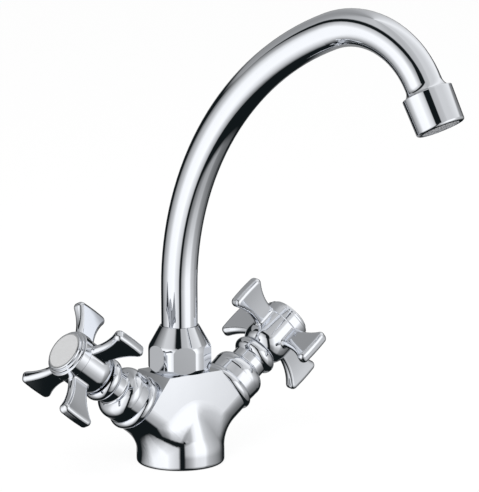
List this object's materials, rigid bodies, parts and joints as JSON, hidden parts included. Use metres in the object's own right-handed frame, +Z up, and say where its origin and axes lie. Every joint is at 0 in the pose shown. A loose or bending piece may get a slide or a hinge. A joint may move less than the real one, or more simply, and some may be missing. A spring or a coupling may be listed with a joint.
{
  "type": "kitchen mixer tap",
  "caption": "Deck-mounted mixer tap with a high swivelling swan-neck spout and cross handles on two raised arms.",
  "frame": {"origin": "centre of the round base's underside", "axes": "+Z up along the spout's swivel axis, +X and -X towards the two handles, -Y straight ahead of the spout"},
  "size_m": [0.165, 0.1932, 0.2337],
  "materials": {
    "casting_chrome": "polished chrome on cast brass",
    "tube_chrome": "polished chrome on drawn tube",
    "nut_chrome": "polished chrome, turned",
    "shroud_chrome": "polished chrome, turned",
    "handle_chrome": "polished chrome on zinc casting",
    "outlet_chrome": "polished chrome, turned",
    "cap_satin": "satin disc with polished rings",
    "bare_brass": "machined",
    "spring_steel": "bright",
    "black_rubber": "matt",
    "natural_nylon": "moulded",
    "white_plastic": "moulded",
    "white_ceramic": "lapped ceramic"
  },
  "bodies": {
    "base": {"mixer_body": "casting_chrome", "base_gasket": "black_rubber", "spout_nut": "nut_chrome", "slip_ring": "natural_nylon", "left_valve_body": "bare_brass", "left_seat_gasket": "black_rubber", "left_fixed_disc": "white_ceramic", "left_shroud": "shroud_chrome", "left_ring_nut": "nut_chrome", "right_valve_body": "bare_brass", "right_seat_gasket": "black_rubber", "right_fixed_disc": "white_ceramic", "right_shroud": "shroud_chrome", "right_ring_nut": "nut_chrome"},
    "spout": {"spout_tube": "tube_chrome", "spout_foot": "bare_brass", "spout_seals": "black_rubber", "outlet_collar": "tube_chrome", "aerator_gasket": "black_rubber", "aerator_insert": "white_plastic", "aerator_housing": "outlet_chrome"},
    "left_cross": {"left_handle": "handle_chrome", "left_spindle": "bare_brass", "left_moving_disc": "white_ceramic", "left_spindle_seal": "black_rubber", "left_retaining_clip": "spring_steel", "left_cap": "cap_satin", "left_handle_screw": "spring_steel"},
    "right_cross": {"right_handle": "handle_chrome", "right_spindle": "bare_brass", "right_moving_disc": "white_ceramic", "right_spindle_seal": "black_rubber", "right_retaining_clip": "spring_steel", "right_cap": "cap_satin", "right_handle_screw": "spring_steel"}
  },
  "joints": [
    {"name": "spout_swivel", "type": "hinge", "parent": "base", "child": "spout", "pos_m": [0, 0, 0.05], "axis": [0, 0, 1], "continuous": true},
    {"name": "left_handle_turn", "type": "hinge", "parent": "base", "child": "left_cross", "pos_m": [0, 0, 0.0126], "axis": [-0.7912, 0, 0.6115], "range_deg": [0, 90]},
    {"name": "right_handle_turn", "type": "hinge", "parent": "base", "child": "right_cross", "pos_m": [0, 0, 0.0126], "axis": [0.7912, 0, 0.6115], "range_deg": [-90, 0]}
  ]
}
